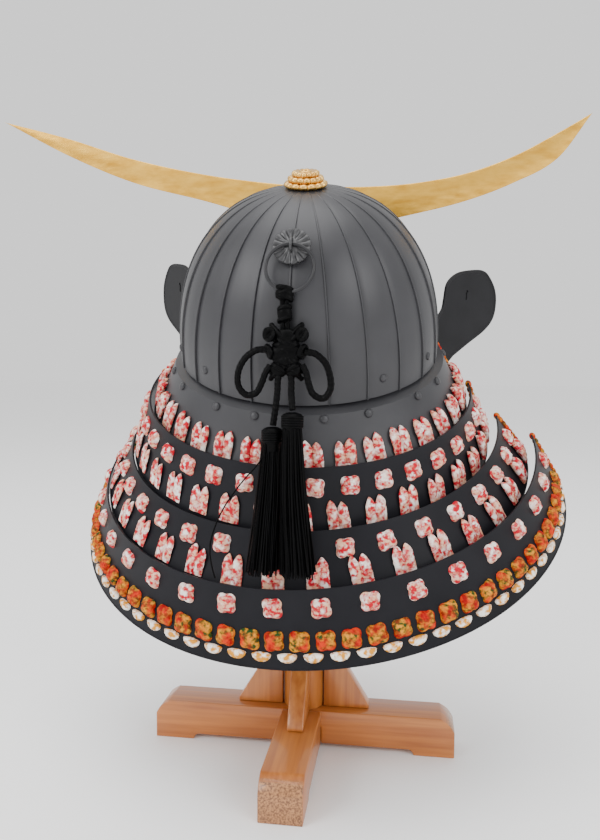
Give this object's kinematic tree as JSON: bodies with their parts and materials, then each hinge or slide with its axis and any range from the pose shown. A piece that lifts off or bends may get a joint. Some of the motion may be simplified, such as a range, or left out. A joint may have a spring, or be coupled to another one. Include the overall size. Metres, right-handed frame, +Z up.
{
  "type": "kabuto samurai helmet on a wooden cross stand",
  "caption": "Samurai helmet with ridged bowl, crescent crest, laced neck guard and tasselled cord, worn over the head; shown on its wooden cross stand.",
  "frame": {"origin": "middle of the footprint of helmet and stand, without the cord, on the surface that the stand's feet rest on", "axes": "+Z up; the wearer would face -Y; the neck guard's middle, the ring and the tassels are on the +Y side; +X is the wearer's left"},
  "size_m": [0.564, 0.3112, 0.5862],
  "materials": {
    "stand_wood": "satin varnish",
    "bowl_steel": "satin",
    "neck_lacquer": "satin",
    "turn_back_lacquer": "matt",
    "crest_gilt": "brushed, gilt",
    "crown_gilt": "polished, gilt",
    "cord_black": "braided, slightly glossy"
  },
  "bodies": {
    "root": {"stand_arm_side": "stand_wood", "stand_arm_front": "stand_wood", "stand_post": "stand_wood", "stand_brace_left": "stand_wood", "stand_brace_back": "stand_wood", "stand_brace_right": "stand_wood", "stand_brace_front": "stand_wood", "bowl": "bowl_steel", "crown_fitting": "crown_gilt", "cord_rosette": "bowl_steel", "cord_ring": "bowl_steel", "visor": "bowl_steel", "neck_lame_1": "neck_lacquer", "neck_lame_2": "neck_lacquer", "neck_lame_3": "neck_lacquer", "neck_lame_4": "neck_lacquer", "crest": "crest_gilt", "crest_socket": "bowl_steel", "turn_back_right": "turn_back_lacquer", "turn_back_left": "turn_back_lacquer", "cord_knot_top": "cord_black", "cord_knot_middle": "cord_black", "cord_knot_main": "cord_black", "cord_loop_left": "cord_black", "cord_loop_right": "cord_black", "cord_leg_left": "cord_black", "cord_leg_right": "cord_black", "tassel_left": "cord_black", "tassel_right": "cord_black"}
  },
  "joints": []
}
